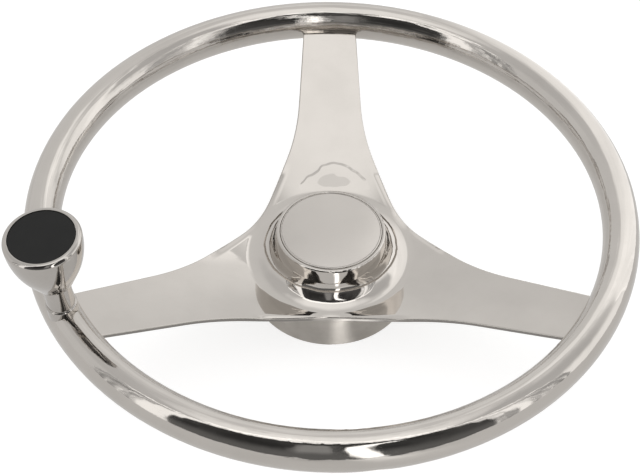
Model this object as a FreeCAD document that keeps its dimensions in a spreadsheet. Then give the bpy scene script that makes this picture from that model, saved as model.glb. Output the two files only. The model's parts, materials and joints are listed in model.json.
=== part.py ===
import FreeCAD, Part
import math
import os
from types import SimpleNamespace

import Sketcher

# Boat steering wheel: polished stainless rim, pressed three-spoke plate, turned rear hub,
# centre cap over the shaft nut, and a turning knob on two ball bearings.
# Frame: the origin is the centre of the hub's rear face, which meets the helm. +Z is the shaft's
# axis towards the driver, +Y runs up the top spoke. Millimetres and degrees.

# Driving dimensions: name, value, meaning
DIMENSIONS = [
    ("rim_diameter", 343.0, "rim, outside"),
    ("tube_width", 20.0, "rim tube's section, across the wheel"),
    ("tube_height", 24.0, "rim tube's section, along the shaft"),
    ("tube_wall", 1.5, "rim tube's wall"),
    ("dish", 66.3, "hub's rear face to the rim's middle plane"),
    ("spoke_count", 3, "spokes"),
    ("spoke_width", 32.0, "spoke at the rim"),
    ("spoke_taper", 3.1, "lean of a spoke's outer sides, degrees"),
    ("flare_place", 85.0, "distance from the axis at which a spoke starts to flare"),
    ("flare_angle", 19.2, "lean of a spoke's flared sides, degrees"),
    ("flare_radius", 130.0, "arc into the flare"),
    ("crotch_radius", 90.0, "arc between two spokes"),
    ("plate_thickness", 2.5, "spoke plate"),
    ("spoke_drop", 2.7, "rim's middle plane to the spoke's upper face at the tube"),
    ("plate_flat", 2.5, "end of the cove to the corner at which the plate turns up"),
    ("bend_radius", 10.0, "upper radius of that bend"),
    ("edge_rounding", 0.6, "rounding of the plate's edges"),
    ("collar_radius", 31.3, "drawn collar's mouth, outside"),
    ("collar_wall", 2.0, "drawn collar's wall at its mouth"),
    ("collar_lean", 10.0, "lean of the collar's wall, degrees"),
    ("collar_edge", 1.2, "rounding of the collar's mouth, outside"),
    ("cove_radius", 12.0, "cove from the plate to the collar"),
    ("hub_radius", 47.0, "rear hub, outside"),
    ("hub_height", 25.5, "rear face to the plate"),
    ("hub_wall", 3.0, "hub's outer wall"),
    ("hub_web", 5.0, "hub's floor under the plate"),
    ("boss_radius", 18.0, "hub's middle boss"),
    ("boss_height", 3.5, "hub's middle boss above the plate's lower face"),
    ("spigot_height", 11.5, "hub's spigot above the plate's lower face"),
    ("hub_rounding", 2.5, "fillets in the hub's recesses"),
    ("turned_edge", 0.8, "rounding of the turned pieces' outer edges"),
    ("fine_edge", 0.4, "rounding of the small pieces' edges"),
    ("taper_bore", 19.05, "taper bore at the rear face, 3/4 in"),
    ("taper_rate", 12.0, "length of taper for each unit of diameter"),
    ("key_width", 4.76, "keyway, 3/16 in"),
    ("key_depth", 2.4, "keyway beyond the bore at the rear face"),
    ("washer_radius", 16.0, "shaft washer"),
    ("washer_thickness", 2.0, "shaft washer"),
    ("washer_bore", 16.7, "shaft washer's hole"),
    ("nut_flats", 23.8, "shaft nut across flats, 15/16 in"),
    ("nut_height", 9.5, "shaft nut's hexagon"),
    ("nut_chamfer", 0.9, "shaft nut's corners, along the shaft"),
    ("nut_collar_radius", 10.6, "shaft nut's collar"),
    ("nut_collar_height", 3.2, "shaft nut's collar"),
    ("thread_bore", 14.35, "5/8-18 thread's minor diameter"),
    ("lock_ring_radius", 9.4, "plastic locking ring"),
    ("lock_ring_height", 2.3, "plastic locking ring"),
    ("lock_ring_place", 0.4, "nut's hexagon to its locking ring"),
    ("nut_mouth", 8.6, "nut's collar, turned in over the locking ring"),
    ("lock_ring_bore", 14.9, "plastic locking ring's hole"),
    ("nut_headroom", 1.7, "nut's collar to the cap's underside"),
    ("cap_wall", 1.8, "cap's wall"),
    ("cap_rise", 0.4, "cap's top above the collar's mouth"),
    ("cap_seat", 1.5, "width of the cap's step on the spigot"),
    ("cap_shoulder", 0.8, "rounding of the cap's top edge"),
    ("plug_depth", 6.0, "cap's plug below its step"),
    ("plug_wall", 3.6, "cap's plug"),
    ("ring_depth", 3.0, "cap's step to the O-ring"),
    ("ring_section", 1.78, "O-ring's section"),
    ("groove_width", 2.4, "O-ring groove"),
    ("knob_angle", 210.0, "knob's place round the rim, degrees from +X"),
    ("knob_lean", 3.6, "knob's lean away from the shaft, degrees"),
    ("post_radius", 7.4, "post"),
    ("post_height", 21.9, "tube's crown to the post's top"),
    ("foot_radius", 8.3, "post's foot"),
    ("foot_height", 3.4, "post's foot above the tube's crown"),
    ("post_step", 1.4, "raised seat for the lower inner race"),
    ("post_seat_radius", 5.2, "raised seat for the lower inner race"),
    ("thread_spare", 1.4, "post's threaded hole beyond the screw"),
    ("thread_radius", 3.0, "screw's thread, M6"),
    ("thread_length", 12.0, "screw's thread"),
    ("shoulder_radius", 4.0, "screw's shoulder"),
    ("head_radius", 6.5, "screw's head"),
    ("head_height", 5.5, "screw's head"),
    ("head_rounding", 0.9, "edge of the screw's head"),
    ("socket_flats", 4.0, "hexagon socket in the screw's head"),
    ("socket_depth", 3.0, "hexagon socket in the screw's head"),
    ("screw_washer_thickness", 0.5, "washer under the screw's head"),
    ("bearing_radius", 8.0, "ball bearing, outside"),
    ("bearing_width", 5.0, "ball bearing"),
    ("race_wall", 1.3, "inner and outer races"),
    ("ball_radius", 1.19, "balls"),
    ("ball_count", 9, "balls in each bearing"),
    ("cage_wall", 0.9, "cage"),
    ("cage_height", 3.6, "cage"),
    ("spacer_length", 14.0, "sleeve between the inner races"),
    ("spacer_wall", 1.3, "sleeve between the inner races"),
    ("knob_radius", 19.85, "knob at its widest"),
    ("knob_foot_radius", 10.3, "knob's lower edge"),
    ("knob_height", 34.1, "knob, lower edge to its rim"),
    ("bowl_radius", 50.0, "knob's bowl, curve of its side"),
    ("bowl_lean", 26.0, "lean of the bowl's side at its lower edge, degrees"),
    ("knob_rim", 2.4, "rounding of the knob's rim"),
    ("insert_radius", 17.0, "black insert"),
    ("insert_thickness", 2.0, "black insert"),
    ("insert_sink", 0.3, "insert below the knob's rim"),
    ("pocket_radius", 15.5, "knob's hollow under the insert"),
    ("pocket_floor", 1.5, "hollow's floor above the upper bearing"),
    ("fit_gap", 0.03, "radial gap of the close fits"),
    ("slip_gap", 0.1, "radial gap of the loose fits"),
    ("weld_gap", 0.05, "gap left under a weld"),
    ("running_gap", 0.4, "gap between the knob and its post"),
]


class Size:
    """A dimension: its value, and the sheet formula that a feature is bound to."""

    def __init__(self, value, text):
        self.value = float(value)
        self.text = text

    def __add__(self, other):
        other = size_of(other)
        return Size(self.value + other.value, f"({self.text} + {other.text})")

    def __sub__(self, other):
        other = size_of(other)
        return Size(self.value - other.value, f"({self.text} - {other.text})")

    def __mul__(self, other):
        other = size_of(other)
        return Size(self.value * other.value, f"({self.text} * {other.text})")

    def __truediv__(self, other):
        other = size_of(other)
        return Size(self.value / other.value, f"({self.text} / {other.text})")

    def __neg__(self):
        return Size(-self.value, f"(-1 * {self.text})")


def size_of(number):
    if isinstance(number, Size):
        return number
    return Size(number, repr(number))


def sine(angle):
    return Size(math.sin(math.radians(angle.value)), f"sin({angle.text})")


def cosine(angle):
    return Size(math.cos(math.radians(angle.value)), f"cos({angle.text})")


def tangent(angle):
    return Size(math.tan(math.radians(angle.value)), f"tan({angle.text})")


def angle_of(ratio):
    return Size(math.degrees(math.atan(ratio.value)), f"atan({ratio.text})")


NOTHING = Size(0, "0")

doc = FreeCAD.newDocument("boat_steering_wheel")
sheet = doc.addObject("Spreadsheet::Sheet", "sizes")
dim = SimpleNamespace()
for row, (alias, number, meaning) in enumerate(DIMENSIONS, start=1):
    sheet.set(f"A{row}", meaning)
    sheet.set(f"B{row}", str(number))
    sheet.setAlias(f"B{row}", alias)
    setattr(dim, alias, Size(number, f"sizes.{alias}"))
doc.recompute()

# Places worked out from the driving dimensions, along the shaft
plate_top = dim.hub_height + dim.plate_thickness
nut_seat = dim.hub_height + dim.boss_height
spigot_top = dim.hub_height + dim.spigot_height
nut_base = nut_seat + dim.washer_thickness
hexagon_top = nut_base + dim.nut_height
nut_top = hexagon_top + dim.nut_collar_height
lock_ring_base = hexagon_top + dim.lock_ring_place
cap_underside = nut_top + dim.nut_headroom
cap_top = cap_underside + dim.cap_wall
collar_top = cap_top - dim.cap_rise
ring_place = spigot_top - dim.ring_depth

# Places worked out from the driving dimensions, across the wheel
rim_centre = dim.rim_diameter / 2 - dim.tube_width / 2
rim_inside = dim.rim_diameter / 2 - dim.tube_width
collar_bore = dim.collar_radius - dim.collar_wall
collar_spread = tangent(dim.collar_lean)
spigot_radius = collar_bore + (collar_top - spigot_top) * collar_spread - dim.slip_gap
cap_radius = collar_bore - dim.slip_gap
spigot_bore = cap_radius - dim.cap_seat
plug_radius = spigot_bore - dim.slip_gap
groove_radius = spigot_bore - dim.ring_section - dim.fit_gap * 2

# Places along the knob's axis, from the middle of the rim tube
crown = dim.tube_height / 2
post_top = crown + dim.post_height
race_seat = post_top + dim.post_step
spacer_base = race_seat + dim.bearing_width
upper_race_seat = spacer_base + dim.spacer_length
screw_washer_base = upper_race_seat + dim.bearing_width
head_base = screw_washer_base + dim.screw_washer_thickness
knob_base = post_top + dim.running_gap
knob_top = knob_base + dim.knob_height
insert_top = knob_top - dim.insert_sink
insert_base = insert_top - dim.insert_thickness

# Ball bearing's section
ball_path = dim.shoulder_radius + (dim.bearing_radius - dim.shoulder_radius) / 2
raceway_radius = dim.ball_radius + dim.fit_gap * 2

# The knob's own frame: on the tube's centre line, leaning away from the shaft
knob_reach = f"{rim_centre.text} * cos(sizes.knob_angle)"
knob_climb = f"{rim_centre.text} * sin(sizes.knob_angle)"
KNOB_PLACE = (
    f"placement(vector({knob_reach}; {knob_climb}; sizes.dish);"
    " rotation(sizes.knob_angle; sizes.knob_lean; 0))"
)

ORIGIN_POINT = -1
HORIZONTAL_AXIS = -1
VERTICAL_AXIS = -2
START, END, CENTRE = range(1, 4)


# Sketching

def new_sketch(body, name, role):
    """A sketch on one of the body's own origin planes."""
    plane = next(item for item in body.Origin.OriginFeatures if item.Role == role)
    sketch = body.newObject("Sketcher::SketchObject", name)
    sketch.AttachmentSupport = [(plane, "")]
    sketch.MapMode = "FlatFace"
    return sketch


def bind_constraint(sketch, constraint, size):
    index = sketch.addConstraint(constraint)
    sketch.setExpression(f"Constraints[{index}]", size.text)


def pin_point(sketch, geometry, point, across, up):
    """Hold a point at its place from the sketch's origin."""
    places = (("DistanceX", across, VERTICAL_AXIS), ("DistanceY", up, HORIZONTAL_AXIS))
    for kind, size, axis in places:
        if size is NOTHING:
            sketch.addConstraint(Sketcher.Constraint("PointOnObject", geometry, point, axis))
        else:
            constraint = Sketcher.Constraint(kind, ORIGIN_POINT, 1, geometry, point, size.value)
            bind_constraint(sketch, constraint, size)


def corner_arc(before, corner, after, radius):
    """The arc that rounds a corner: its ends on both sides, its curve, and if it turns left."""
    inward = (before - corner).normalize()
    outward = (after - corner).normalize()
    half_angle = inward.getAngle(outward) / 2
    reach = radius / math.tan(half_angle)
    first = corner + inward * reach
    last = corner + outward * reach
    middle = (inward + outward).normalize()
    centre = corner + middle * (radius / math.sin(half_angle))
    turns_left = inward.cross(outward).z < 0
    low, high = (first, last) if turns_left else (last, first)
    start_angle = math.atan2(low.y - centre.y, low.x - centre.x)
    end_angle = math.atan2(high.y - centre.y, high.x - centre.x)
    circle = Part.Circle(centre, FreeCAD.Vector(0, 0, 1), radius)
    return first, last, Part.ArcOfCircle(circle, start_angle, end_angle), turns_left


def draw_outline(sketch, corners):
    """A closed outline of corners (across, up) or, rounded, (across, up, radius)."""
    points = [FreeCAD.Vector(corner[0].value, corner[1].value, 0) for corner in corners]
    count = len(points)
    reached = list(points)
    left = list(points)
    arcs = {}
    for index, corner in enumerate(corners):
        if len(corner) == 3:
            before = points[index - 1]
            after = points[(index + 1) % count]
            arc = corner_arc(before, points[index], after, corner[2].value)
            reached[index], left[index] = arc[0], arc[1]
            arcs[index] = arc[2:]
    lines = []
    for index in range(count):
        line = Part.LineSegment(left[index], reached[(index + 1) % count])
        lines.append(sketch.addGeometry(line, False))
    for index, corner in enumerate(corners):
        before = lines[index - 1]
        after = lines[index]
        if index not in arcs:
            sketch.addConstraint(Sketcher.Constraint("Coincident", before, END, after, START))
            pin_point(sketch, after, START, corner[0], corner[1])
            continue
        curve, turns_left = arcs[index]
        arc = sketch.addGeometry(curve, False)
        near, far = (START, END) if turns_left else (END, START)
        sketch.addConstraint(Sketcher.Constraint("Tangent", before, END, arc, near))
        sketch.addConstraint(Sketcher.Constraint("Tangent", arc, far, after, START))
        bind_constraint(sketch, Sketcher.Constraint("Radius", arc, corner[2].value), corner[2])
        mark = sketch.addGeometry(Part.Point(points[index]), True)
        pin_point(sketch, mark, START, corner[0], corner[1])
        sketch.addConstraint(Sketcher.Constraint("PointOnObject", mark, START, before))
        sketch.addConstraint(Sketcher.Constraint("PointOnObject", mark, START, after))


def draw_circle(sketch, across, up, radius):
    centre = FreeCAD.Vector(across.value, up.value, 0)
    circle = Part.Circle(centre, FreeCAD.Vector(0, 0, 1), radius.value)
    index = sketch.addGeometry(circle, False)
    pin_point(sketch, index, CENTRE, across, up)
    bind_constraint(sketch, Sketcher.Constraint("Radius", index, radius.value), radius)


def hexagon(flats):
    """Corners of a hexagon about the origin, from its width across flats."""
    corner_radius = flats / 2 / cosine(size_of(30))
    corners = []
    for step in range(6):
        angle = size_of(60 * step + 30)
        corners.append((corner_radius * cosine(angle), corner_radius * sine(angle)))
    return corners


# Features

def new_body(label, placement=None):
    body = doc.addObject("PartDesign::Body", f"{label}_body")
    body.Label = label
    if placement:
        body.setExpression("Placement", placement)
    return body


def revolve(body, name, corners):
    """Turn a section, drawn in the plane of the axis, once round."""
    sketch = new_sketch(body, f"{name}_section", "XZ_Plane")
    draw_outline(sketch, corners)
    turned = body.newObject("PartDesign::Revolution", name)
    turned.Profile = sketch
    turned.ReferenceAxis = (sketch, ["V_Axis"])
    turned.Angle = 360
    body.Tip = turned
    return turned


def groove(body, name, draw):
    """Cut a groove round the axis, with the section that draw makes."""
    sketch = new_sketch(body, f"{name}_section", "XZ_Plane")
    draw(sketch)
    cut = body.newObject("PartDesign::Groove", name)
    cut.Profile = sketch
    cut.ReferenceAxis = (sketch, ["V_Axis"])
    cut.Angle = 360
    body.Tip = cut
    return cut


def pocket_through(body, name, role, draw, upward):
    """Cut an outline right through, to one side of an origin plane."""
    sketch = new_sketch(body, f"{name}_outline", role)
    draw(sketch)
    cut = body.newObject("PartDesign::Pocket", name)
    cut.Profile = sketch
    cut.Type = "ThroughAll"
    cut.Reversed = upward
    body.Tip = cut
    return cut


def rim_solid(name, growth):
    """A solid ring with the rim tube's outer section, grown or shrunk all round."""
    width = dim.tube_width / 2 + growth
    height = dim.tube_height / 2 + growth
    upright = dim.tube_height.value >= dim.tube_width.value
    turn = "rotation(vector(1; 1; 1); -120)" if upright else "rotation(vector(1; 0; 0); 90)"
    section = doc.addObject("Part::Ellipse", f"{name}_section")
    section.setExpression("MajorRadius", f"max({width.text}; {height.text})")
    section.setExpression("MinorRadius", f"min({width.text}; {height.text})")
    section.setExpression("Placement", f"placement(vector({rim_centre.text}; 0; sizes.dish); {turn})")
    ring = doc.addObject("Part::Revolution", name)
    ring.Source = section
    ring.Axis = (0, 0, 1)
    ring.Base = (0, 0, 0)
    ring.Angle = 360
    ring.Solid = True
    return ring


def cut_from(label, base, tool):
    result = doc.addObject("Part::Cut", f"{label}_cut")
    result.Label = label
    result.Base = base
    result.Tool = tool
    return result


# Rim

def make_rim_tube():
    outside = rim_solid("tube_outside", NOTHING)
    inside = rim_solid("tube_inside", -dim.tube_wall)
    return cut_from("rim_tube", outside, inside)


# Spoke plate

def spoke_outline():
    """Plan of the plate: straight spokes that flare into arcs between them."""
    end = rim_centre
    half_end = dim.spoke_width / 2
    half_flare = half_end + (end - dim.flare_place) * tangent(dim.spoke_taper)
    half_pitch = size_of(180) / dim.spoke_count
    lean = tangent(dim.flare_angle)
    crotch = (half_flare + dim.flare_place * lean) / (sine(half_pitch) + cosine(half_pitch) * lean)
    corners = []
    for index in range(int(dim.spoke_count.value)):
        angle = size_of(90) + half_pitch * 2 * index
        out_x, out_y = cosine(angle), sine(angle)

        def place(along, aside):
            return along * out_x - aside * out_y, along * out_y + aside * out_x

        between = angle + half_pitch
        corners.append((*place(dim.flare_place, -half_flare), dim.flare_radius))
        corners.append(place(end, -half_end))
        corners.append(place(end, half_end))
        corners.append((*place(dim.flare_place, half_flare), dim.flare_radius))
        corners.append((crotch * cosine(between), crotch * sine(between), dim.crotch_radius))
    return corners


def draw_spoke_waste(sketch):
    """Everything outside the spokes' outline."""
    draw_circle(sketch, NOTHING, NOTHING, dim.rim_diameter)
    draw_outline(sketch, spoke_outline())


def round_plate_edges(body):
    """Round the plate's edges along its windows, both faces."""
    doc.recompute()
    cut = body.Tip
    edges = cut.Shape.Edges
    chosen = []
    for face in cut.Shape.Faces:
        middle = face.CenterOfMass
        upright = abs(face.normalAt(*face.Surface.parameter(middle)).z) < 0.01
        distance = math.hypot(middle.x, middle.y)
        if not upright or not dim.hub_radius.value < distance < rim_inside.value:
            continue
        for side in face.Edges:
            box = side.BoundBox
            if math.hypot(box.XLength, box.YLength) > dim.plate_thickness.value / 10:
                number = next(i for i, edge in enumerate(edges, start=1) if edge.isSame(side))
                chosen.append(f"Edge{number}")
    rounding = body.newObject("PartDesign::Fillet", "plate_edges")
    rounding.Base = (cut, chosen)
    rounding.setExpression("Radius", dim.edge_rounding.text)
    body.Tip = rounding


def make_spoke_plate():
    """Pressed plate: its collar drawn up in a wide cove, its spokes turned up to the rim."""
    outer_foot = dim.collar_radius + (collar_top - plate_top) * collar_spread
    inner_foot = collar_bore + (collar_top - dim.hub_height) * collar_spread
    lower_cove = dim.cove_radius + dim.plate_thickness
    cove_end = inner_foot + lower_cove * tangent((size_of(90) - dim.collar_lean) / 2)
    bend_place = cove_end + dim.plate_flat
    rise = dim.dish - dim.spoke_drop - plate_top
    slope = angle_of(rise / (rim_inside - bend_place))
    lower_bend = bend_place + dim.plate_thickness * tangent(slope / 2)
    end = rim_centre
    end_top = plate_top + (end - bend_place) * tangent(slope)
    end_bottom = dim.hub_height + (end - lower_bend) * tangent(slope)
    body = new_body("plate_blank")
    revolve(body, "plate_pressing", [
        (inner_foot, dim.hub_height, lower_cove),
        (lower_bend, dim.hub_height, dim.bend_radius + dim.plate_thickness),
        (end, end_bottom),
        (end, end_top),
        (bend_place, plate_top, dim.bend_radius),
        (outer_foot, plate_top, dim.cove_radius),
        (dim.collar_radius, collar_top, dim.collar_edge),
        (collar_bore, collar_top, dim.fine_edge),
    ])
    pocket_through(body, "plate_windows", "XY_Plane", draw_spoke_waste, True)
    round_plate_edges(body)
    return cut_from("spoke_plate", body, rim_solid("plate_rim_seat", dim.weld_gap))


# Rear hub

def make_rear_hub():
    """Turned hub: a thin outer wall and a middle boss, open at the back, taper bored."""
    bore_rear = dim.taper_bore / 2
    bore_front = bore_rear - nut_seat / dim.taper_rate / 2
    inside = dim.hub_radius - dim.hub_wall
    floor = dim.hub_height - dim.hub_web
    edge = dim.turned_edge
    body = new_body("rear_hub")
    revolve(body, "hub_turning", [
        (bore_rear, NOTHING),
        (dim.boss_radius, NOTHING, edge),
        (dim.boss_radius, floor, dim.hub_rounding),
        (inside, floor, dim.hub_rounding),
        (inside, NOTHING),
        (dim.hub_radius, NOTHING, edge),
        (dim.hub_radius, dim.hub_height),
        (spigot_radius, dim.hub_height),
        (spigot_radius, spigot_top, edge),
        (spigot_bore, spigot_top, dim.fine_edge),
        (spigot_bore, dim.hub_height, dim.hub_rounding),
        (dim.boss_radius, dim.hub_height, dim.hub_rounding),
        (dim.boss_radius, nut_seat, edge),
        (bore_front, nut_seat),
    ])

    def draw_keyway(sketch):
        half = dim.key_width / 2
        reach = bore_rear + dim.key_depth
        draw_outline(sketch, [(-half, NOTHING), (half, NOTHING), (half, reach), (-half, reach)])

    pocket_through(body, "hub_keyway", "XY_Plane", draw_keyway, True)
    return body


# Centre cap and its O-ring

def make_centre_cap():
    """Cup-shaped cap: flat top in the collar's mouth, a step on the spigot, a plug inside it."""
    plug_base = spigot_top - dim.plug_depth
    plug_inside = plug_radius - dim.plug_wall
    hollow = cap_radius - dim.cap_wall
    hollow_base = spigot_top + dim.cap_wall
    half_groove = dim.groove_width / 2
    edge = dim.fine_edge
    body = new_body("centre_cap")
    revolve(body, "cap_turning", [
        (NOTHING, cap_top),
        (NOTHING, cap_underside),
        (hollow, cap_underside, edge),
        (hollow, hollow_base),
        (plug_inside, hollow_base),
        (plug_inside, plug_base),
        (plug_radius, plug_base, edge),
        (plug_radius, ring_place - half_groove),
        (groove_radius, ring_place - half_groove),
        (groove_radius, ring_place + half_groove),
        (plug_radius, ring_place + half_groove),
        (plug_radius, spigot_top),
        (cap_radius, spigot_top),
        (cap_radius, cap_top, dim.cap_shoulder),
    ])
    return body


def make_cap_o_ring():
    ring = doc.addObject("Part::Torus", "cap_o_ring_torus")
    ring.Label = "cap_o_ring"
    path = groove_radius + dim.ring_section / 2 + dim.fit_gap
    ring.setExpression("Radius1", path.text)
    ring.setExpression("Radius2", (dim.ring_section / 2).text)
    ring.setExpression("Placement.Base.z", ring_place.text)
    return ring


# Shaft washer, nut and locking ring

def ring_section(bore, radius, base, height):
    """A plain ring's section."""
    return [(bore, base), (radius, base), (radius, base + height), (bore, base + height)]


def make_shaft_washer():
    body = new_body("shaft_washer")
    revolve(body, "washer_ring", ring_section(
        dim.washer_bore / 2, dim.washer_radius, nut_seat, dim.washer_thickness))
    return body


def make_shaft_nut():
    """Lock nut: a chamfered hexagon with a round collar that holds the plastic ring."""
    half_bore = dim.thread_bore / 2
    recess = dim.lock_ring_radius + dim.fit_gap
    recess_top = lock_ring_base + dim.lock_ring_height + dim.fit_gap
    hex_reach = dim.nut_flats / 2 / cosine(size_of(30))
    body = new_body("shaft_nut")
    revolve(body, "nut_turning", [
        (half_bore, nut_base),
        (dim.nut_flats / 2, nut_base),
        (hex_reach, nut_base + dim.nut_chamfer),
        (hex_reach, hexagon_top - dim.nut_chamfer),
        (dim.nut_flats / 2, hexagon_top),
        (dim.nut_collar_radius, hexagon_top),
        (dim.nut_collar_radius, nut_top, dim.turned_edge),
        (dim.nut_mouth, nut_top),
        (dim.nut_mouth, recess_top),
        (recess, recess_top),
        (recess, lock_ring_base),
        (half_bore, lock_ring_base),
    ])

    def draw_nut_waste(sketch):
        draw_circle(sketch, NOTHING, NOTHING, dim.nut_flats)
        draw_outline(sketch, hexagon(dim.nut_flats))

    pocket_through(body, "nut_flats", "XY_Plane", draw_nut_waste, True)
    return body


def make_nut_lock_ring():
    body = new_body("nut_lock_ring")
    revolve(body, "lock_ring", ring_section(
        dim.lock_ring_bore / 2, dim.lock_ring_radius, lock_ring_base, dim.lock_ring_height))
    return body


# Knob's post, screw, washer and spacer

def make_knob_post():
    """Post with a foot that saddles the rim tube, a threaded hole and a raised race seat."""
    thread_hole = dim.thread_radius + dim.fit_gap
    hole_end = race_seat - dim.thread_length - dim.thread_spare
    foot_top = crown + dim.foot_height
    body = new_body("post_blank", KNOB_PLACE)
    revolve(body, "post_turning", [
        (NOTHING, NOTHING),
        (dim.foot_radius, NOTHING),
        (dim.foot_radius, foot_top, dim.turned_edge),
        (dim.post_radius, foot_top, dim.fine_edge),
        (dim.post_radius, post_top, dim.fine_edge),
        (dim.post_seat_radius, post_top),
        (dim.post_seat_radius, race_seat),
        (thread_hole, race_seat),
        (thread_hole, hole_end),
        (NOTHING, hole_end - thread_hole / 2),
    ])
    return cut_from("knob_post", body, rim_solid("post_rim_seat", dim.weld_gap))


def make_knob_screw():
    """Shoulder screw: thread, ground shoulder, head with a hexagon socket."""
    head_top = head_base + dim.head_height
    body = new_body("knob_screw", KNOB_PLACE)
    shoulder = dim.shoulder_radius - dim.fit_gap
    revolve(body, "screw_turning", [
        (NOTHING, race_seat - dim.thread_length),
        (dim.thread_radius, race_seat - dim.thread_length),
        (dim.thread_radius, race_seat),
        (shoulder, race_seat),
        (shoulder, head_base),
        (dim.head_radius, head_base),
        (dim.head_radius, head_top, dim.head_rounding),
        (NOTHING, head_top),
    ])
    sketch = new_sketch(body, "screw_socket_outline", "XY_Plane")
    lift = (head_top - dim.socket_depth).text
    sketch.setExpression("AttachmentOffset.Base.z", lift)
    draw_outline(sketch, hexagon(dim.socket_flats))
    socket = body.newObject("PartDesign::Pocket", "screw_socket")
    socket.Profile = sketch
    socket.Type = "ThroughAll"
    socket.Reversed = True
    body.Tip = socket
    return body


def make_knob_ring(label, bore, radius, base, height):
    body = new_body(label, KNOB_PLACE)
    revolve(body, f"{label}_turning", ring_section(bore, radius, base, height))
    return body


def make_screw_washer():
    bore = dim.shoulder_radius
    thickness = dim.screw_washer_thickness
    return make_knob_ring("screw_washer", bore, dim.head_radius, screw_washer_base, thickness)


def make_bearing_spacer():
    outside = dim.shoulder_radius + dim.spacer_wall
    return make_knob_ring("bearing_spacer", dim.shoulder_radius, outside, spacer_base, dim.spacer_length)


# Ball bearings

def cut_raceway(body, name, base):
    """Groove that the balls run in."""
    middle = base + dim.bearing_width / 2
    groove(body, name, lambda sketch: draw_circle(sketch, ball_path, middle, raceway_radius))


def make_inner_race(label, base):
    outside = dim.shoulder_radius + dim.race_wall
    body = make_knob_ring(label, dim.shoulder_radius, outside, base, dim.bearing_width)
    cut_raceway(body, f"{label}_raceway", base)
    return body


def make_outer_race(label, base):
    inside = dim.bearing_radius - dim.race_wall
    body = make_knob_ring(label, inside, dim.bearing_radius, base, dim.bearing_width)
    cut_raceway(body, f"{label}_raceway", base)
    return body


def make_balls(label, base):
    """One bearing's balls, spaced evenly round the ball path."""
    balls = []
    for index in range(int(dim.ball_count.value)):
        ball = doc.addObject("Part::Sphere", f"{label}_ball")
        angle = size_of(90) + size_of(360) / dim.ball_count * index
        ball.setExpression("Radius", dim.ball_radius.text)
        ball.setExpression("Placement.Base.x", (ball_path * cosine(angle)).text)
        ball.setExpression("Placement.Base.y", (ball_path * sine(angle)).text)
        ball.setExpression("Placement.Base.z", (base + dim.bearing_width / 2).text)
        balls.append(ball)
    group = doc.addObject("Part::Compound", f"{label}_set")
    group.Label = label
    group.Links = balls
    group.setExpression("Placement", KNOB_PLACE)
    return group


def make_cage(label, base):
    """Ring with a round hole for each ball."""
    middle = base + dim.bearing_width / 2
    cage_base = middle - dim.cage_height / 2
    inside = ball_path - dim.cage_wall / 2
    hole_radius = dim.ball_radius + dim.slip_gap
    body = make_knob_ring(label, inside, inside + dim.cage_wall, cage_base, dim.cage_height)

    def draw_hole(sketch):
        draw_circle(sketch, NOTHING, middle, hole_radius)

    hole = pocket_through(body, f"{label}_hole", "XZ_Plane", draw_hole, False)
    pattern = body.newObject("PartDesign::PolarPattern", f"{label}_holes")
    pattern.Originals = [hole]
    pattern.Axis = (hole.Profile[0], ["V_Axis"])
    pattern.Angle = 360
    pattern.setExpression("Occurrences", dim.ball_count.text)
    body.Tip = pattern
    return body


# Knob

def make_knob_shell():
    """Bowl-shaped knob, bored from both ends for its bearings, with a seat for the insert."""
    bore = dim.bearing_radius + dim.fit_gap
    waist = dim.bearing_radius - dim.race_wall + dim.slip_gap
    recess = dim.insert_radius + dim.slip_gap
    pocket_base = screw_washer_base + dim.pocket_floor
    side_corner = knob_base + (dim.knob_radius - dim.knob_foot_radius) / tangent(dim.bowl_lean)
    body = new_body("knob_shell", KNOB_PLACE)
    revolve(body, "knob_turning", [
        (bore, knob_base),
        (dim.knob_foot_radius, knob_base),
        (dim.knob_radius, side_corner, dim.bowl_radius),
        (dim.knob_radius, knob_top, dim.knob_rim),
        (recess, knob_top),
        (recess, insert_base),
        (dim.pocket_radius, insert_base),
        (dim.pocket_radius, pocket_base, dim.knob_rim),
        (bore, pocket_base),
        (bore, upper_race_seat),
        (waist, upper_race_seat),
        (waist, spacer_base),
        (bore, spacer_base),
    ])
    return body


def make_knob_insert():
    body = new_body("knob_insert", KNOB_PLACE)
    revolve(body, "insert_disc", [
        (NOTHING, insert_base),
        (dim.insert_radius, insert_base),
        (dim.insert_radius, insert_top, dim.fine_edge),
        (NOTHING, insert_top),
    ])
    return body


# The whole wheel

nodes = [
    make_rim_tube(),
    make_spoke_plate(),
    make_rear_hub(),
    make_centre_cap(),
    make_cap_o_ring(),
    make_shaft_washer(),
    make_shaft_nut(),
    make_nut_lock_ring(),
    make_knob_post(),
    make_knob_screw(),
    make_screw_washer(),
    make_bearing_spacer(),
    make_inner_race("lower_inner_race", race_seat),
    make_inner_race("upper_inner_race", upper_race_seat),
    make_outer_race("lower_outer_race", race_seat),
    make_outer_race("upper_outer_race", upper_race_seat),
    make_balls("lower_balls", race_seat),
    make_balls("upper_balls", upper_race_seat),
    make_cage("lower_cage", race_seat),
    make_cage("upper_cage", upper_race_seat),
    make_knob_shell(),
    make_knob_insert(),
]
doc.recompute()

# Nothing is written unless every feature worked and every piece is sound
for item in doc.Objects:
    if "Invalid" in item.State or "Error" in item.State:
        raise RuntimeError(f"{item.Label} failed: {item.State}")
for node in nodes:
    if node.Shape.isNull() or not node.Shape.isValid() or not node.Shape.Solids:
        raise RuntimeError(f"{node.Label} has no sound solid")

for node in nodes:
    node.Shape.exportStep(f"parts/{node.Label}.step")
    solids = node.Shape.Solids
    volume = sum(solid.Volume for solid in solids) / 1000
    box = node.Shape.BoundBox
    print(f"{node.Label}: {len(solids)} solid, {volume:.2f} cm3, z {box.ZMin:.2f} to {box.ZMax:.2f}")
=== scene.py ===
import json
import math

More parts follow.
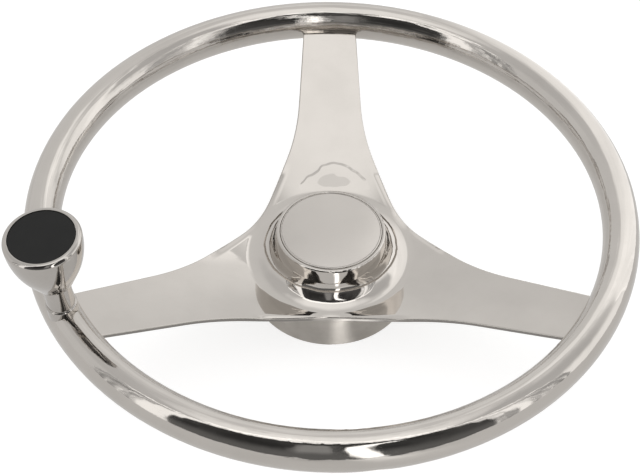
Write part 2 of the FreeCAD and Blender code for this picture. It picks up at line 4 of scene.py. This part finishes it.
import bpy
from mathutils import Matrix, Vector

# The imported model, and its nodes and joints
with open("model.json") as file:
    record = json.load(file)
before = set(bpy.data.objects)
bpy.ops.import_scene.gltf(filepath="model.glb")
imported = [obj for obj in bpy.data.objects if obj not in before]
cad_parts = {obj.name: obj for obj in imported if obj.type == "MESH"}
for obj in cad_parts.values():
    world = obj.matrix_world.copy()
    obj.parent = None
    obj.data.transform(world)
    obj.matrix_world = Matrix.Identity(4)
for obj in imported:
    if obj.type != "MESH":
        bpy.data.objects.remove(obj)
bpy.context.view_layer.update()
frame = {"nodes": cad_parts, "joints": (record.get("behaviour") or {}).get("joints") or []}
NODES = frame["nodes"]

# The knob's axis, from the joint it turns on
KNOB_JOINT = next(joint for joint in frame["joints"] if joint["name"] == "knob_spin")
KNOB_POINT = Vector(KNOB_JOINT["pos_m"])
KNOB_AXIS = Vector(KNOB_JOINT["axis"])
SHAFT_POINT = Vector((0.0, 0.0, 0.0))
SHAFT_AXIS = Vector((0.0, 0.0, 1.0))

# Camera, in metres and degrees: the place and lens found from the rim's ellipse
CAMERA_PLACE = Vector((-0.014062, -0.548849, 0.665842))
CAMERA_AIM = Vector((-0.006613, -0.022425, 0.0663))
CAMERA_ROLL = 0.882
CAMERA_LENS = 81.3
CAMERA_SENSOR = 36.0

# Places on the wheel that the finishes change at, in metres
COLLAR_REACH = 0.046
PLATE_WAIST = 0.050
CAP_FACE = 0.0284
CAP_HEIGHT = 0.0472
CAP_DOME = 3.0

# The plate's edge between two spokes: two straight sides that lean, and the arc that joins them
WINDOW_CORNER = 0.0478
WINDOW_LEAN = 79.2
WINDOW_ARC = 0.0900
ROLL_WIDTH = 0.0046
ROLL_DEPTH = 0.0013
ROLL_END = 0.062

# A faint mark behind the collar: a low dome in outline, drawn by bump, with a painted darker spot in it, a
# painted reflection
MARK_X = 0.0027
MARK_Y = 0.0475
MARK_WIDE = 0.0225
MARK_HIGH = 0.0195
MARK_EDGE = 0.0030
MARK_NEAR = 0.007
MARK_SHAPE = 1.5
MARK_RISE = 0.00050
SPOT_UP = 0.0062
SPOT_WIDE = 0.0095
SPOT_HIGH = 0.0046
SPOT_PAINTED_DARK = 0.34

# Surroundings, in metres: a light tent round a pale table
FLOOR_SIZE = 6.0
FLOOR_DROP = 0.0002
HEM_HEIGHT = 1.20
HEM_NEAR = -0.27
HEM_FAR = -0.18
HEM_HALF = 0.45
CLOTH_LEFT = 0.065
CLOTH_RIGHT = 1.0
CLOTH_PLACE = 0.20
CLOTH_TOP = 0.60

# The tent's front, with a dark opening that narrows upwards, a stand and a lamp in it
TENT_FRONT = -0.60
TENT_HALF = 2.4
TENT_TOP = 2.8
OPENING_LEFT = -0.61
OPENING_RIGHT = 0.62
OPENING_TOP = 2.30
OPENING_SOFT = 0.02
OPENING_LEAN = 0.10
STRIP_LEFT = (-0.90, -0.60)
STRIP_RIGHT = (0.80, 0.96)
STAND_SIDES = (-0.115, 0.010)
STAND_ENDS = (0.24, 1.10)
LAMP_MIDDLE = 0.083
LAMP_HALF = 0.035
LAMP_ENDS = (0.02, 1.35)
LAMP_BOW = 0.27
LAMP_BOW_HEIGHT = 0.40

# How bright the surroundings look in the metal
FLOOR_PALE = 0.38
FLOOR_PAINTED_STREAK = 0.5
FLOOR_SHADE = 0.12
FLOOR_GLEAM = 2.1
WALL_LEFT = 0.80
WALL_RIGHT = 0.92
OVERHEAD = 1.28
FRONT_LEFT = 0.60
FRONT_RIGHT = 0.70
SEAM_LIGHT = 1.7
SEAM_DARK = 0.22
STRIP_LIGHT = 1.45
HEM_LIGHT = 1.9
OPENING_LOW = 0.16
STAND_LIGHT = 0.34
LAMP_LIGHT = 2.3
CLOTH_NEAR = 0.88
CLOTH_BODY = 1.22
CLOTH_FAR = 0.25
CLOTH_EDGE = 0.92

# Patches of the tent's walls: the way to each, the cosines where it starts and is full, and its light
WALL_PATCHES = (
    ((0.56, 0.70, 0.44), 0.92, 1.00, 0.26),
    ((0.00, 0.90, 0.43), 0.96, 1.00, 0.14),
    ((0.36, 0.60, 0.71), 0.97, 1.00, 0.45),
    ((1.00, 0.00, 0.00), 0.80, 0.97, 0.35),
    ((0.60, -0.10, 0.80), 0.84, 0.97, -0.24),
    ((-0.50, 0.10, 0.86), 0.84, 0.97, -0.12),
)

# How bright the floor looks to the camera
FLOOR_SEEN = 0.74


# Node helpers

class Shader:
    """Builds one node tree, of a material or of the world."""

    def __init__(self, tree):
        self.nodes = tree.nodes
        self.links = tree.links

    def add(self, kind, **settings):
        node = self.nodes.new(kind)
        for key, value in settings.items():
            setattr(node, key, value)
        return node

    def feed(self, node, socket, value):
        """Link a socket, or set it to a value."""
        target = node.inputs[socket]
        if isinstance(value, bpy.types.NodeSocket):
            self.links.new(value, target)
        else:
            target.default_value = value

    def place(self):
        """The object's own coordinates, in metres."""
        return self.add("ShaderNodeTexCoord").outputs["Object"]

    def normal(self):
        """The object's own normal."""
        return self.add("ShaderNodeTexCoord").outputs["Normal"]

    def split(self, vector):
        node = self.add("ShaderNodeSeparateXYZ")
        self.feed(node, 0, vector)
        return node.outputs

    def join(self, x, y, z):
        node = self.add("ShaderNodeCombineXYZ")
        for index, value in enumerate((x, y, z)):
            self.feed(node, index, value)
        return node.outputs[0]

    def math(self, operation, *values, clamp=False):
        node = self.add("ShaderNodeMath", operation=operation, use_clamp=clamp)
        for index, value in enumerate(values):
            self.feed(node, index, value)
        return node.outputs[0]

    def times(self, *values):
        result = values[0]
        for value in values[1:]:
            result = self.math("MULTIPLY", result, value)
        return result

    def facing(self, vector, direction):
        """Cosine between a unit vector and a direction."""
        node = self.add("ShaderNodeVectorMath", operation="DOT_PRODUCT")
        self.feed(node, 0, vector)
        self.feed(node, 1, Vector(direction).normalized())
        return node.outputs["Value"]

    def about(self, point, axis):
        """Coordinates with their origin on an axis, and Z along it."""
        node = self.add("ShaderNodeMapping", vector_type="TEXTURE")
        self.feed(node, "Vector", self.place())
        self.feed(node, "Location", point)
        self.feed(node, "Rotation", Vector(axis).to_track_quat("Z", "Y").to_euler())
        return node.outputs[0]

    def radius(self, x, y):
        return self.math("SQRT", self.math("ADD", self.math("MULTIPLY", x, x), self.math("MULTIPLY", y, y)))

    def stretch(self, vector, scale):
        """Scale a vector, to draw out a texture along one way."""
        node = self.add("ShaderNodeMapping")
        self.feed(node, "Vector", vector)
        self.feed(node, "Scale", scale)
        return node.outputs[0]

    def noise(self, vector, scale, detail=3.0, roughness=0.55, fourth=None):
        node = self.add("ShaderNodeTexNoise")
        if fourth is not None:
            node.noise_dimensions = "4D"
            self.feed(node, "W", fourth)
        self.feed(node, "Vector", vector)
        self.feed(node, "Scale", scale)
        self.feed(node, "Detail", detail)
        self.feed(node, "Roughness", roughness)
        return node.outputs["Fac"]

    def span(self, value, low, high, to_low, to_high, smooth=True):
        """Map a value from one range to another, held at both ends."""
        node = self.add("ShaderNodeMapRange")
        node.interpolation_type = "SMOOTHSTEP" if smooth else "LINEAR"
        node.clamp = True
        sockets = ("Value", "From Min", "From Max", "To Min", "To Max")
        for socket, number in zip(sockets, (value, low, high, to_low, to_high)):
            self.feed(node, socket, number)
        return node.outputs["Result"]

    def band(self, value, low, high, soft):
        """One between two limits and nothing outside them, with soft edges."""
        enter = self.span(value, low - soft, low + soft, 0.0, 1.0)
        leave = self.span(value, high - soft, high + soft, 1.0, 0.0)
        return self.times(enter, leave)

    def blend(self, amount, first, second):
        """Mix two colours."""
        node = self.add("ShaderNodeMix", data_type="RGBA")
        self.feed(node, 0, amount)
        self.feed(node, 6, first)
        self.feed(node, 7, second)
        return node.outputs[2]

    def mix(self, amount, first, second):
        """Mix two numbers."""
        node = self.add("ShaderNodeMix", data_type="FLOAT")
        self.feed(node, 0, amount)
        self.feed(node, 2, first)
        self.feed(node, 3, second)
        return node.outputs[0]

    def bump(self, height, distance, strength=1.0, under=None):
        node = self.add("ShaderNodeBump")
        self.feed(node, "Height", height)
        self.feed(node, "Distance", distance)
        self.feed(node, "Strength", strength)
        if under is not None:
            self.feed(node, "Normal", under)
        return node.outputs["Normal"]


class Finish(Shader):
    """A material on the Principled shader."""

    def __init__(self, name):
        self.material = bpy.data.materials.new(name)
        self.material.use_nodes = True
        super().__init__(self.material.node_tree)
        self.principled = self.nodes["Principled BSDF"]

    def done(self, **sockets):
        for socket, value in sockets.items():
            self.feed(self.principled, socket.replace("_", " "), value)
        return self.material


def link(item):
    bpy.context.scene.collection.objects.link(item)
    return item


# Materials

STEEL = (0.600, 0.567, 0.530, 1.0)
STEEL_HAZE = (0.565, 0.534, 0.498, 1.0)
# Cut edges' colour: partly the unpolished cut, partly painted shade; also used for the painted darker spot
# behind the collar
CUT_STEEL_AND_PAINTED_SHADE = (0.300, 0.284, 0.266, 1.0)
TURNED_STEEL = (0.610, 0.574, 0.530, 1.0)
TURNED_DARK = (0.510, 0.480, 0.441, 1.0)
# Knob colours: darker than the plate as painted shade
KNOB_STEEL_PAINTED_SHADE = (0.520, 0.492, 0.462, 1.0)
KNOB_HAZE_PAINTED_SHADE = (0.480, 0.454, 0.425, 1.0)
BEARING_STEEL = (0.62, 0.62, 0.63, 1.0)
MACHINED_STEEL = (0.50, 0.49, 0.47, 1.0)
BRASS = (0.62, 0.45, 0.20, 1.0)
BLACK_RUBBER = (0.018, 0.018, 0.018, 1.0)
BLACK_PLASTIC = (0.011, 0.011, 0.0105, 1.0)
WHITE_NYLON = (0.62, 0.62, 0.58, 1.0)
FLOOR_COLOUR = (0.42, 0.415, 0.41, 1.0)
BLACK = (0.0, 0.0, 0.0, 1.0)
WHITE = (1.0, 1.0, 1.0, 1.0)

# How deep the waves and marks in the polish are, in metres
RIM_WAVES = 0.00022
RIM_STREAKS = 0.000014
PLATE_WAVES = 0.00002
COLLAR_WAVES = 0.00036
CAP_GRAIN = 0.0000012
KNOB_TURNING = 0.000012
KNOB_WAVES = 0.00005
HUB_GROOVES = 0.000004
SPACER_GROOVES = 0.000006
METAL_GRAIN = 0.000006
MOULD_GRAIN = 0.00001


def haze_and_lines(shader, place, clean, hazy):
    """Buffed steel's colour and roughness: cloudy haze, and fine lines where the buff ran."""
    haze = shader.noise(place, 28.0, detail=4.0)
    lines = shader.noise(shader.stretch(place, (90.0, 900.0, 900.0)), 1.0, detail=2.0)
    colour = shader.blend(shader.span(haze, 0.35, 0.75, 0.0, 1.0), clean, hazy)
    rough = shader.math("ADD", shader.span(haze, 0.3, 0.8, 0.035, 0.075),
                        shader.span(lines, 0.45, 0.8, 0.0, 0.025))
    return colour, rough


def rim_steel():
    """Polished bent tube: the mirror waves gently along it, and the buff left streaks round it."""
    shader = Finish("rim_polished_steel")
    place = shader.place()
    x, y, z = shader.split(place)
    reach = shader.radius(x, y)
    around = shader.join(shader.math("DIVIDE", x, reach), shader.math("DIVIDE", y, reach), 0.0)
    across = shader.math("ADD", shader.times(reach, 70.0), shader.times(z, 70.0))
    waves = shader.noise(around, 5.0, detail=1.0, fourth=across)
    streaks = shader.noise(around, 9.0, detail=3.0, fourth=shader.times(across, 9.0))
    colour, rough = haze_and_lines(shader, place, STEEL, STEEL_HAZE)
    rough = shader.math("ADD", rough, shader.span(streaks, 0.5, 0.75, 0.0, 0.05))
    normal = shader.bump(waves, RIM_WAVES)
    normal = shader.bump(streaks, RIM_STREAKS, under=normal)
    return shader.done(Base_Color=colour, Metallic=1.0, Roughness=rough, Normal=normal)


def window_distance(shader, x, y):
    """Distance from the plate's edge between the spokes, for the nearest of the three windows."""
    slant = math.sin(math.radians(WINDOW_LEAN))
    climb = math.cos(math.radians(WINDOW_LEAN))
    arc_centre = WINDOW_CORNER + WINDOW_ARC / slant
    arc_end = WINDOW_ARC / math.tan(math.radians(WINDOW_LEAN)) * slant
    nearest = None
    for angle in (30, 150, 270):
        out_x = math.cos(math.radians(angle))
        out_y = math.sin(math.radians(angle))
        along = shader.math("ADD", shader.times(x, out_x), shader.times(y, out_y))
        aside = shader.math("SUBTRACT", shader.times(x, out_y), shader.times(y, out_x))
        aside = shader.math("ABSOLUTE", aside)
        from_centre = shader.radius(shader.math("SUBTRACT", along, arc_centre), aside)
        from_arc = shader.math("SUBTRACT", from_centre, WINDOW_ARC)
        from_side = shader.math("SUBTRACT", shader.times(aside, climb),
                                shader.times(shader.math("SUBTRACT", along, WINDOW_CORNER), slant))
        beyond_arc = shader.math("GREATER_THAN", aside, arc_end)
        inside = shader.mix(beyond_arc, from_arc, from_side)
        nearest = inside if nearest is None else shader.math("MINIMUM", nearest, inside)
    return nearest


def bump_and_painted_spot(shader, x, y):
    """The mark: how high its bump stands inside its wavering outline, and a painted darker spot in it, a
    painted reflection.
    """
    across = shader.math("SUBTRACT", x, MARK_X)
    up = shader.math("SUBTRACT", y, MARK_Y)
    aside = shader.math("POWER", shader.times(shader.math("ABSOLUTE", across), 1 / MARK_WIDE), MARK_SHAPE)
    above = shader.math("POWER", shader.times(shader.math("ABSOLUTE", up), 1 / MARK_HIGH), MARK_SHAPE)
    waver = shader.noise(shader.place(), 90.0, detail=1.0)
    reach = shader.math("ADD", aside, shader.math("ADD", above, shader.span(waver, 0.3, 0.7, -0.08, 0.08)))
    dome = shader.times(shader.span(reach, 1.0 - MARK_EDGE / MARK_HIGH, 1.0, 1.0, 0.0),
                        shader.span(up, 0.0, MARK_NEAR, 0.0, 1.0))
    spot = shader.radius(shader.times(across, 1 / SPOT_WIDE),
                         shader.times(shader.math("SUBTRACT", up, SPOT_UP), 1 / SPOT_HIGH))
    spot = shader.math("ADD", spot, shader.span(waver, 0.3, 0.7, -0.25, 0.25))
    return dome, shader.span(spot, 0.85, 1.0, SPOT_PAINTED_DARK, 0.0)


def plate_steel():
    """Polished pressing: cut edges that the buff rolled over, coloured darker partly for the unpolished cut
    and partly as painted shade; hand waves in the drawn collar; a painted darker spot behind the collar.
    """
    shader = Finish("plate_polished_steel")
    place = shader.place()
    x, y, z = shader.split(place)
    reach = shader.radius(x, y)
    colour, rough = haze_and_lines(shader, place, STEEL, STEEL_HAZE)
    # Cut edges: rougher, and darker in colour, partly for the unpolished cut and partly as painted shade of
    # the shadowed floor they mirror
    tilt = shader.math("ABSOLUTE", shader.split(shader.normal())[2])
    beyond = shader.span(reach, PLATE_WAIST, PLATE_WAIST + 0.002, 0.0, 1.0)
    cut = shader.times(shader.span(tilt, 0.25, 0.6, 1.0, 0.0), beyond)
    colour = shader.blend(cut, colour, CUT_STEEL_AND_PAINTED_SHADE)
    rough = shader.mix(cut, rough, 0.22)
    # A bumped mark behind the collar, with a painted darker spot: a painted reflection
    dome, spot = bump_and_painted_spot(shader, x, y)
    colour = shader.blend(spot, colour, CUT_STEEL_AND_PAINTED_SHADE)
    slow = shader.noise(place, 22.0, detail=1.5)
    normal = shader.bump(slow, PLATE_WAVES)
    in_collar = shader.span(reach, COLLAR_REACH - 0.006, COLLAR_REACH, 1.0, 0.0)
    hand = shader.times(shader.noise(place, 75.0, detail=1.0), in_collar)
    normal = shader.bump(hand, COLLAR_WAVES, under=normal)
    normal = shader.bump(dome, MARK_RISE, under=normal)
    edge = shader.span(window_distance(shader, x, y), 0.0, ROLL_WIDTH, 1.0, 0.0, smooth=False)
    fade = shader.span(reach, ROLL_END, ROLL_END + 0.008, 1.0, 0.0)
    normal = shader.bump(shader.times(edge, edge, fade), -ROLL_DEPTH, under=normal)
    return shader.done(Base_Color=colour, Metallic=1.0, Roughness=rough, Normal=normal)


def cap_steel():
    """Centre cap: satin face that is very slightly domed, polished shoulder."""
    shader = Finish("cap_satin_steel")
    place = shader.place()
    x, y, z = shader.split(place)
    reach = shader.radius(x, y)
    face = shader.span(z, CAP_HEIGHT - 0.0012, CAP_HEIGHT - 0.0008, 0.0, 1.0)
    flat = shader.span(reach, CAP_FACE - 0.0003, CAP_FACE, 1.0, 0.0)
    colour, rough = haze_and_lines(shader, place, STEEL, STEEL_HAZE)
    grain = shader.noise(place, 5200.0, detail=2.0)
    cloud = shader.noise(place, 40.0, detail=3.0)
    rough = shader.mix(face, rough, shader.span(cloud, 0.3, 0.7, 0.30, 0.35))
    dome = shader.times(reach, reach, -CAP_DOME)
    normal = shader.bump(shader.times(dome, face, flat), 1.0)
    normal = shader.bump(shader.times(grain, face), CAP_GRAIN, under=normal)
    return shader.done(Base_Color=colour, Metallic=1.0, Roughness=rough, Normal=normal)


def turned_steel(name, point, axis, colour, dark, rough, groove):
    """Turned metal: fine rings round an axis, and a sheen that the rings draw out along it."""
    shader = Finish(name)
    x, y, z = shader.split(shader.about(point, axis))
    across = shader.times(shader.radius(x, y), 6000.0)
    rings = shader.noise(shader.join(across, 0.0, shader.times(z, 6000.0)), 1.0, detail=2.0)
    cloud = shader.noise(shader.place(), 60.0, detail=3.0)
    tone = shader.blend(shader.span(shader.math("ADD", rings, cloud), 0.8, 1.25, 0.0, 1.0), colour, dark)
    tangent = shader.add("ShaderNodeTangent", direction_type="RADIAL", axis="Z").outputs[0]
    return shader.done(Base_Color=tone, Metallic=1.0, Anisotropic=0.8,
                       Anisotropic_Rotation=0.25, Tangent=tangent,
                       Roughness=shader.span(cloud, 0.3, 0.7, rough, rough + 0.06),
                       Normal=shader.bump(rings, groove))


def knob_steel():
    """Polished knob and post: a little darker than the plate, as painted shade for the shaded floor it
    mirrors, with faint turning waves.
    """
    shader = Finish("knob_polished_steel")
    place = shader.place()
    x, y, z = shader.split(shader.about(KNOB_POINT, KNOB_AXIS))
    colour, rough = haze_and_lines(shader, place, KNOB_STEEL_PAINTED_SHADE, KNOB_HAZE_PAINTED_SHADE)
    across = shader.times(shader.radius(x, y), 220.0)
    turning = shader.noise(shader.join(across, 0.0, shader.times(z, 220.0)), 1.0, detail=2.0)
    hand = shader.noise(place, 120.0, detail=1.0)
    normal = shader.bump(turning, KNOB_TURNING)
    normal = shader.bump(hand, KNOB_WAVES, under=normal)
    return shader.done(Base_Color=colour, Metallic=1.0, Roughness=rough, Normal=normal)


def plain_metal(name, colour, rough, grain=900.0):
    """Small metal parts: slightly uneven in tone, with a fine surface grain."""
    shader = Finish(name)
    place = shader.place()
    cloud = shader.noise(place, 140.0, detail=3.0)
    fine = shader.noise(place, grain, detail=3.0)
    darker = tuple(channel * 0.86 for channel in colour[:3]) + (1.0,)
    tone = shader.blend(shader.span(cloud, 0.35, 0.7, 0.0, 1.0), colour, darker)
    return shader.done(Base_Color=tone, Metallic=1.0, Normal=shader.bump(fine, METAL_GRAIN),
                       Roughness=shader.span(fine, 0.3, 0.7, rough, rough + 0.08))


def moulded(name, colour, rough, shine, grain):
    """Moulded plastic or rubber: fine grain, faint clouds in tone and gloss."""
    shader = Finish(name)
    place = shader.place()
    fine = shader.noise(place, grain, detail=2.0)
    cloud = shader.noise(place, 90.0, detail=3.0)
    paler = tuple(channel * 1.25 for channel in colour[:3]) + (1.0,)
    return shader.done(Base_Color=shader.blend(shader.span(cloud, 0.3, 0.75, 0.0, 1.0), colour, paler),
                       Roughness=shader.span(cloud, 0.3, 0.7, rough, rough + 0.08),
                       Specular_IOR_Level=shine, Normal=shader.bump(fine, MOULD_GRAIN))


def make_finishes():
    """Which nodes take which material."""
    polished_knob = knob_steel()
    race_steel = plain_metal("bearing_steel", BEARING_STEEL, 0.10, grain=2400.0)
    machined = plain_metal("machined_steel", MACHINED_STEEL, 0.24)
    cage_brass = plain_metal("cage_brass", BRASS, 0.28)
    hub = turned_steel("hub_turned_steel", SHAFT_POINT, SHAFT_AXIS, TURNED_STEEL, TURNED_DARK,
                       0.42, HUB_GROOVES)
    spacer = turned_steel("spacer_turned_steel", KNOB_POINT, KNOB_AXIS, TURNED_STEEL, TURNED_DARK,
                          0.30, SPACER_GROOVES)
    return {
        "rim_tube": rim_steel(),
        "spoke_plate": plate_steel(),
        "rear_hub": hub,
        "centre_cap": cap_steel(),
        "cap_o_ring": moulded("black_rubber", BLACK_RUBBER, 0.52, 0.4, 3000.0),
        "shaft_washer": machined,
        "shaft_nut": machined,
        "nut_lock_ring": moulded("white_nylon", WHITE_NYLON, 0.40, 0.5, 2400.0),
        "knob_post": polished_knob,
        "knob_screw": machined,
        "screw_washer": machined,
        "bearing_spacer": spacer,
        "lower_inner_race": race_steel,
        "upper_inner_race": race_steel,
        "knob_shell": polished_knob,
        "knob_insert": moulded("black_plastic", BLACK_PLASTIC, 0.42, 0.22, 2600.0),
        "lower_outer_race": race_steel,
        "upper_outer_race": race_steel,
        "lower_balls": race_steel,
        "upper_balls": race_steel,
        "lower_cage": cage_brass,
        "upper_cage": cage_brass,
    }


for name, material in make_finishes().items():
    mesh = NODES[name].data
    mesh.materials.clear()
    mesh.materials.append(material)


# Stage

def plain_mesh(name, corners, material):
    mesh = bpy.data.meshes.new(name)
    mesh.from_pydata(corners, [], [(0, 1, 2, 3)])
    mesh.materials.append(material)
    piece = link(bpy.data.objects.new(name, mesh))
    return piece


def only_for_metal(piece):
    """Keep a piece of the tent out of the camera's sight and out of the even light."""
    piece.visible_camera = False
    piece.visible_diffuse = False
    piece.visible_shadow = False


def glowing(shader, light):
    """A surface that only sends out light."""
    return shader.done(Base_Color=BLACK, Specular_IOR_Level=0.0, Roughness=1.0,
                       Emission_Color=WHITE, Emission_Strength=light)


def upright_sheet(name, left, right, top, place, material):
    """A sheet that stands across the view, and that only metal shows."""
    sheet = plain_mesh(name, [(left, 0, 0), (right, 0, 0), (right, 0, top), (left, 0, top)], material)
    sheet.location.y = place
    only_for_metal(sheet)


def make_floor():
    """Pale floor: white to the camera and pale in the metal, and it keeps the wheel's soft shadow."""
    half = FLOOR_SIZE / 2
    shader = Finish("floor_white")
    x, y, z = shader.split(shader.place())
    paths = shader.add("ShaderNodeLightPath")
    # Painted reflection of the lamp strip on the floor, a painted highlight near the hub and painted shade
    # in front of the wheel; only the metal sees them
    near_front = shader.span(y, -0.55, -0.15, 1.0, 0.0)
    painted_lamp_streak = shader.times(shader.band(x, 0.06, 0.14, 0.03), near_front)
    shade = shader.times(shader.band(x, -0.10, 0.02, 0.04), near_front)
    aslant = shader.math("ADD", x, shader.times(y, 0.17))
    near_hub = shader.band(y, -0.15, -0.055, 0.02)
    gleam = shader.times(shader.band(aslant, -0.007, 0.005, 0.006), near_hub)
    pale = shader.math("ADD", FLOOR_PALE, shader.times(painted_lamp_streak, FLOOR_PAINTED_STREAK))
    pale = shader.math("ADD", pale, shader.times(gleam, FLOOR_GLEAM))
    pale = shader.math("SUBTRACT", pale, shader.times(shade, FLOOR_SHADE))
    seen = shader.times(paths.outputs["Is Camera Ray"], FLOOR_SEEN)
    mirrored = shader.math("MAXIMUM", paths.outputs["Is Glossy Ray"], paths.outputs["Is Transmission Ray"])
    glow = shader.math("ADD", seen, shader.times(mirrored, pale))
    material = shader.done(Base_Color=FLOOR_COLOUR, Roughness=0.9, Specular_IOR_Level=0.0,
                           Emission_Color=WHITE, Emission_Strength=glow)
    corners = [(-half, -half, 0), (half, -half, 0), (half, half, 0), (-half, half, 0)]
    floor = plain_mesh("floor", corners, material)
    floor.location.z = -FLOOR_DROP


def tent_walls(shader, way):
    """Light of the tent's cloth in each direction."""
    x, y, z = shader.split(way)
    light = shader.span(x, -0.9, 0.9, WALL_LEFT, WALL_RIGHT, smooth=False)
    for direction, start, full, gain in WALL_PATCHES:
        patch = shader.span(shader.facing(way, direction), start, full, 0.0, gain)
        light = shader.math("ADD", light, patch)
    return shader.mix(shader.span(z, 0.90, 0.985, 0.0, 1.0), light, OVERHEAD)


def make_world():
    """Tent walls: pale, lighter to the right and overhead. Plain white to the camera."""
    world = bpy.data.worlds.new("studio")
    bpy.context.scene.world = world
    world.use_nodes = True
    shader = Shader(world.node_tree)
    walls = tent_walls(shader, shader.add("ShaderNodeTexCoord").outputs["Generated"])
    paths = shader.add("ShaderNodeLightPath")
    background = shader.nodes["Background"]
    background.inputs["Color"].default_value = WHITE
    shader.feed(background, "Strength", shader.mix(paths.outputs["Is Camera Ray"], walls, 1.0))


def along_line(shader, value, level, width):
    """One on the line where a value crosses a level, and nothing further from it than the width."""
    apart = shader.math("ABSOLUTE", shader.math("SUBTRACT", value, level))
    return shader.span(apart, 0.0, width, 1.0, 0.0)


def cloth_folds(shader, wall):
    """Hanging cloth: soft folds, and thin seams that are lighter or darker."""
    place = shader.place()
    folds = shader.noise(shader.stretch(place, (3.0, 1.0, 0.6)), 1.0, detail=3.0)
    light = shader.times(wall, shader.span(folds, 0.35, 0.65, 0.55, 1.55))
    seams = shader.noise(shader.stretch(place, (4.0, 1.0, 0.35)), 1.3, detail=1.0)
    light = shader.mix(along_line(shader, seams, 0.47, 0.012), light, SEAM_LIGHT)
    return shader.mix(along_line(shader, seams, 0.55, 0.010), light, SEAM_DARK)


def front_cloth(shader, x, z, left, right):
    """The tent's front round the opening: folds, a light strip on each side, and the roof's hem."""
    wall = cloth_folds(shader, shader.span(x, -1.6, 1.6, FRONT_LEFT, FRONT_RIGHT, smooth=False))
    strips = shader.math("ADD", shader.band(left, *STRIP_LEFT, 0.03), shader.band(right, *STRIP_RIGHT, 0.03))
    hem = shader.span(z, OPENING_TOP - OPENING_SOFT, OPENING_TOP + OPENING_SOFT, 0.0, 1.0)
    return shader.mix(hem, shader.mix(strips, wall, STRIP_LIGHT), HEM_LIGHT)


def front_opening(shader, z, left, right):
    """Where the opening is, and how dark it is there: unevenly dark, a little lighter near the floor."""
    soft = OPENING_SOFT
    where = shader.times(shader.span(left, OPENING_LEFT - soft, OPENING_LEFT + soft, 0.0, 1.0),
                         shader.span(right, OPENING_RIGHT - soft, OPENING_RIGHT + soft, 1.0, 0.0),
                         shader.span(z, OPENING_TOP - soft, OPENING_TOP + soft, 1.0, 0.0))
    depth = shader.noise(shader.stretch(shader.place(), (1.0, 1.0, 0.25)), 3.0, detail=2.0)
    dark = shader.span(depth, 0.3, 0.7, 0.035, 0.085)
    return where, shader.mix(shader.span(z, 0.10, 0.45, 1.0, 0.0), dark, OPENING_LOW)


def make_tent_front():
    """The tent's front: a dark opening with soft edges, and what stands in it. Only metal shows it."""
    shader = Finish("tent_front")
    x, y, z = shader.split(shader.place())
    lean = shader.times(z, OPENING_LEAN)
    left = shader.math("ADD", x, lean)
    right = shader.math("SUBTRACT", x, lean)
    light = front_cloth(shader, x, z, left, right)
    where, dark = front_opening(shader, z, left, right)
    light = shader.mix(where, light, dark)
    stand = shader.times(shader.band(x, *STAND_SIDES, 0.03), shader.band(z, *STAND_ENDS, 0.12))
    light = shader.mix(stand, light, STAND_LIGHT)
    bow = shader.math("SUBTRACT", z, LAMP_BOW_HEIGHT)
    middle = shader.math("ADD", LAMP_MIDDLE, shader.times(bow, bow, LAMP_BOW))
    lamp = shader.times(shader.band(shader.math("SUBTRACT", x, middle), -LAMP_HALF, LAMP_HALF, 0.012),
                        shader.band(z, *LAMP_ENDS, 0.05))
    light = shader.mix(lamp, light, LAMP_LIGHT)
    upright_sheet("tent_front", -TENT_HALF, TENT_HALF, TENT_TOP, TENT_FRONT, glowing(shader, light))


def make_hem():
    """The bright hem of the tent's roof above the opening."""
    corners = [(-HEM_HALF, HEM_NEAR, HEM_HEIGHT), (HEM_HALF, HEM_NEAR, HEM_HEIGHT),
               (HEM_HALF, HEM_FAR, HEM_HEIGHT), (-HEM_HALF, HEM_FAR, HEM_HEIGHT)]
    only_for_metal(plain_mesh("tent_hem", corners, glowing(Finish("tent_hem"), HEM_LIGHT)))


def make_side_cloth():
    """A pale cloth behind the wheel on the right, brighter away from the middle. Only metal shows it."""
    shader = Finish("side_cloth")
    x, y, z = shader.split(shader.place())
    light = shader.math("ADD", shader.span(x, CLOTH_LEFT, 0.13, CLOTH_NEAR, CLOTH_BODY),
                        shader.span(x, 0.13, 0.45, 0.0, CLOTH_FAR))
    folds = shader.noise(shader.stretch(shader.place(), (9.0, 1.0, 1.0)), 1.0, detail=2.0)
    light = shader.times(light, shader.span(folds, 0.3, 0.7, 0.92, 1.06))
    light = shader.mix(shader.span(z, CLOTH_TOP - 0.15, CLOTH_TOP, 0.0, 1.0), light, CLOTH_EDGE)
    upright_sheet("side_cloth", CLOTH_LEFT, CLOTH_RIGHT, CLOTH_TOP, CLOTH_PLACE, glowing(shader, light))


make_floor()
make_world()
make_tent_front()
make_hem()
make_side_cloth()


# Camera

def make_camera():
    data = bpy.data.cameras.new("camera")
    data.lens = CAMERA_LENS
    data.sensor_width = CAMERA_SENSOR
    data.clip_start = 0.01
    camera = link(bpy.data.objects.new("camera", data))
    forward = (CAMERA_AIM - CAMERA_PLACE).normalized()
    right = forward.cross(Vector((0, 0, 1))).normalized()
    up = right.cross(forward)
    level = Matrix((right, up, -forward)).transposed().to_4x4()
    roll = Matrix.Rotation(math.radians(CAMERA_ROLL), 4, "Z")
    camera.matrix_world = Matrix.Translation(CAMERA_PLACE) @ level @ roll
    bpy.context.scene.camera = camera


make_camera()
bpy.context.scene.view_settings.view_transform = "Standard"
